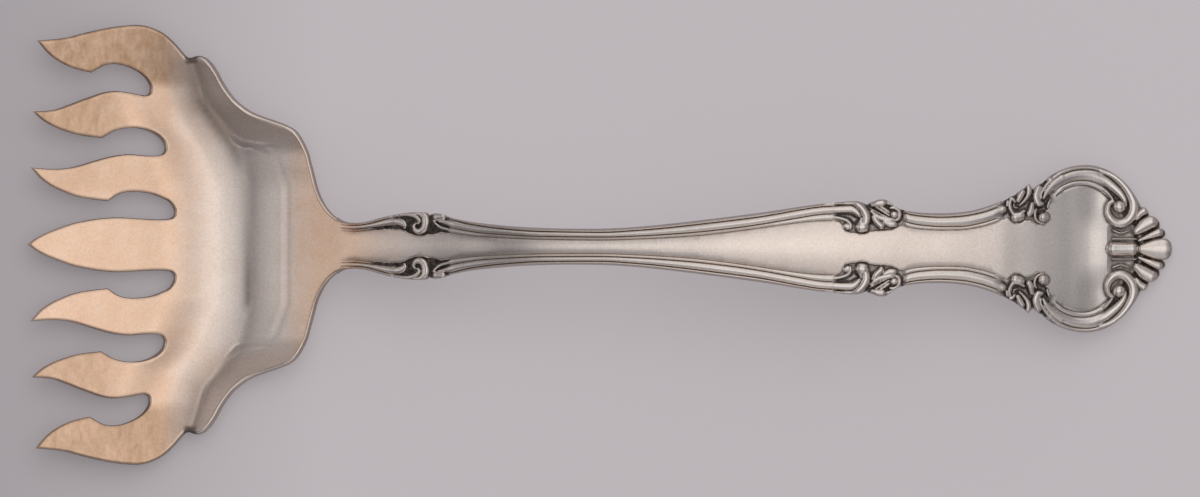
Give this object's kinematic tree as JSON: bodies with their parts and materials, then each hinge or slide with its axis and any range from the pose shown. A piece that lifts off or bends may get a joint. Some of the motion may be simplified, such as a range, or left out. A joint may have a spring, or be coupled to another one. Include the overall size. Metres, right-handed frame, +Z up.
{
  "type": "sardine fork",
  "caption": "Serving fork with a wide shallow bowl, flame-shaped tines and an arched handle with threaded borders, scrolls and a fluted shell.",
  "frame": {"origin": "middle of the fork's bounding box, on the surface it lies on", "axes": "+X towards the end of the handle, +Y across the tines, +Z up from the surface, with the face up"},
  "size_m": [0.1459, 0.0562, 0.0161],
  "materials": {
    "silver": "aged satin silver, gilt on the tines and bowl, dark in the recesses"
  },
  "bodies": {
    "root": {"sardine_fork": "silver"}
  },
  "joints": []
}
